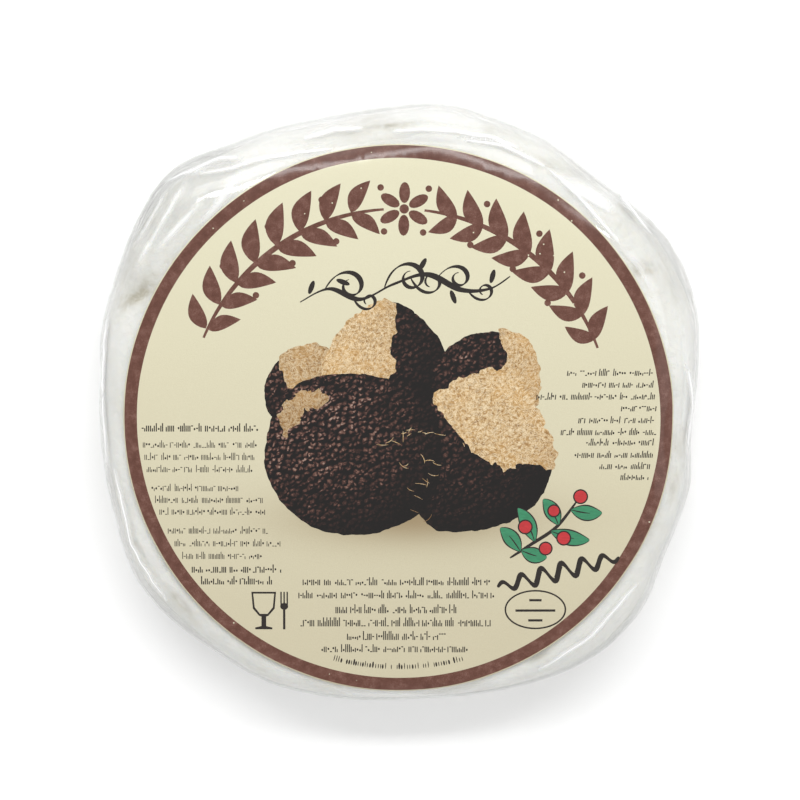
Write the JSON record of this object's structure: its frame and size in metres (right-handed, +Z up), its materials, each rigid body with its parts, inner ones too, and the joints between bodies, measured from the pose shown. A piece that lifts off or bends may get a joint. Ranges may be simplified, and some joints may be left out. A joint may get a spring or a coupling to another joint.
{
  "type": "cheese wheel in clear film",
  "caption": "Round soft-ripened cheese wheel with a white rind, wrapped whole in clear film, with a round paper label stuck on its top.",
  "frame": {"origin": "on the table plane, under the middle of the wheel's width and depth", "axes": "+Z up out of the label, +Y towards the top of the label as it is read, +X to its right"},
  "size_m": [0.1272, 0.127, 0.0293],
  "materials": {
    "rind": "matt white bloomy rind, beige where the bloom is thin",
    "film": "thin clear glossy plastic film, creased",
    "label": "satin coated paper, printed"
  },
  "bodies": {
    "root": {"cheese_wheel": "rind", "film_wrap": "film", "paper_label": "label"}
  },
  "joints": []
}
